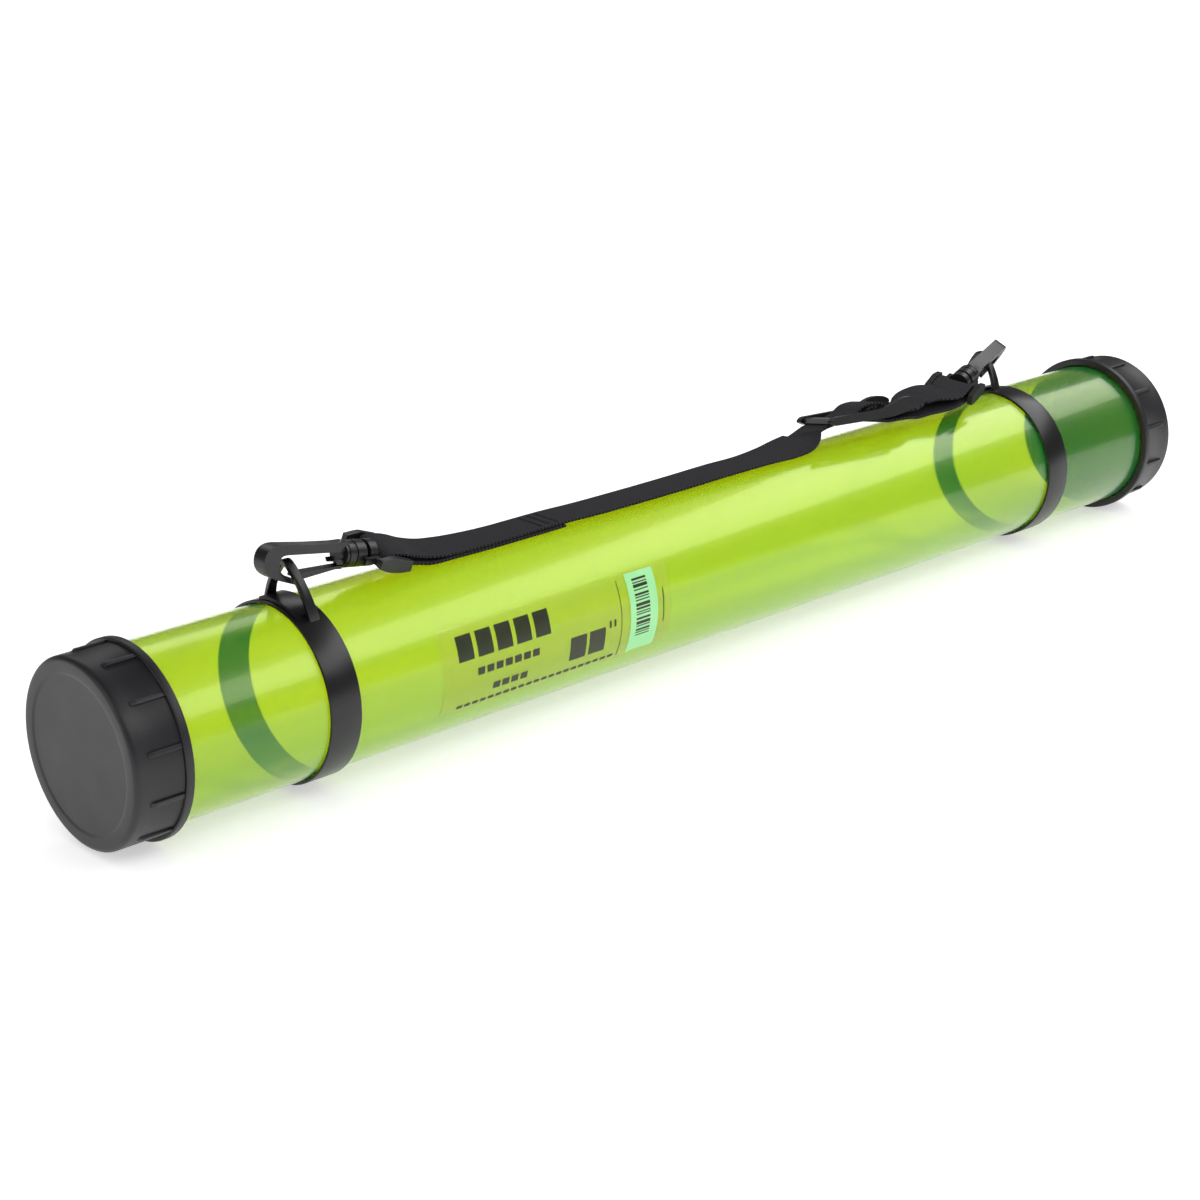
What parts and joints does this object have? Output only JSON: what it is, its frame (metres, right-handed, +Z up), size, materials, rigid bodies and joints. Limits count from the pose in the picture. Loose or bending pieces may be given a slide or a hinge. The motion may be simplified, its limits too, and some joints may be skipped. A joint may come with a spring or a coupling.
{
  "type": "storage tube with carry strap",
  "caption": "Clear yellow-green plastic storage tube with push-on black end caps, collar rings with loops, and a clip-on black webbing carry strap with a slider.",
  "frame": {"origin": "on the floor under the middle of the tube, at the middle of the bounding box's base", "axes": "+X along the tube from the front cap to the rear cap, +Y to the far side, +Z up through the strap side"},
  "size_m": [0.675, 0.0836, 0.1083],
  "materials": {
    "tube_plastic": "clear tinted extruded plastic, gloss",
    "film": "thin clear film with printed plain shapes",
    "cap_plastic": "black moulded plastic, satin",
    "ring_plastic": "black moulded plastic, soft gloss",
    "hook_plastic": "black moulded plastic, satin",
    "webbing": "black woven webbing"
  },
  "bodies": {
    "tube": {"tube": "tube_plastic", "label": "film"},
    "front_cap": {"front_cap": "cap_plastic"},
    "rear_cap": {"rear_cap": "cap_plastic"},
    "harness": {"front_ring": "ring_plastic", "rear_ring": "ring_plastic", "front_strap_bar": "hook_plastic", "rear_strap_bar": "hook_plastic", "slider": "hook_plastic", "strap": "webbing"},
    "front_hook": {"front_hook": "hook_plastic"},
    "front_gate": {"front_gate": "hook_plastic"},
    "rear_hook": {"rear_hook": "hook_plastic"},
    "rear_gate": {"rear_gate": "hook_plastic"}
  },
  "joints": [
    {"name": "front_cap_pull", "type": "slide", "parent": "tube", "child": "front_cap", "axis": [-1, 0, 0], "range_m": [0, 0.12]},
    {"name": "rear_cap_pull", "type": "slide", "parent": "tube", "child": "rear_cap", "axis": [1, 0, 0], "range_m": [0, 0.12]},
    {"name": "harness_turn", "type": "hinge", "parent": "tube", "child": "harness", "pos_m": [0, 0, 0.04176], "axis": [1, 0, 0], "continuous": true},
    {"name": "front_hook_swivel", "type": "hinge", "parent": "harness", "child": "front_hook", "pos_m": [-0.2086, -0.0034, 0.09496], "axis": [-0.9792, -0.0685, 0.1908], "range_deg": [-15, 3]},
    {"name": "rear_hook_swivel", "type": "hinge", "parent": "harness", "child": "rear_hook", "pos_m": [0.21, 0.0027, 0.09336], "axis": [0.9467, 0.3076, 0.0958], "range_deg": [-15, 3]},
    {"name": "front_gate_open", "type": "hinge", "parent": "front_hook", "child": "front_gate", "pos_m": [-0.21171, -0.00362, 0.09047], "axis": [-0.0698, 0.9976, 0], "range_deg": [0, 3], "stiffness_Nm_per_rad": 0.3},
    {"name": "rear_gate_open", "type": "hinge", "parent": "rear_hook", "child": "rear_gate", "pos_m": [0.21168, 0.00595, 0.0893], "axis": [0.3118, -0.8, -0.5127], "range_deg": [0, 3], "stiffness_Nm_per_rad": 0.3}
  ]
}
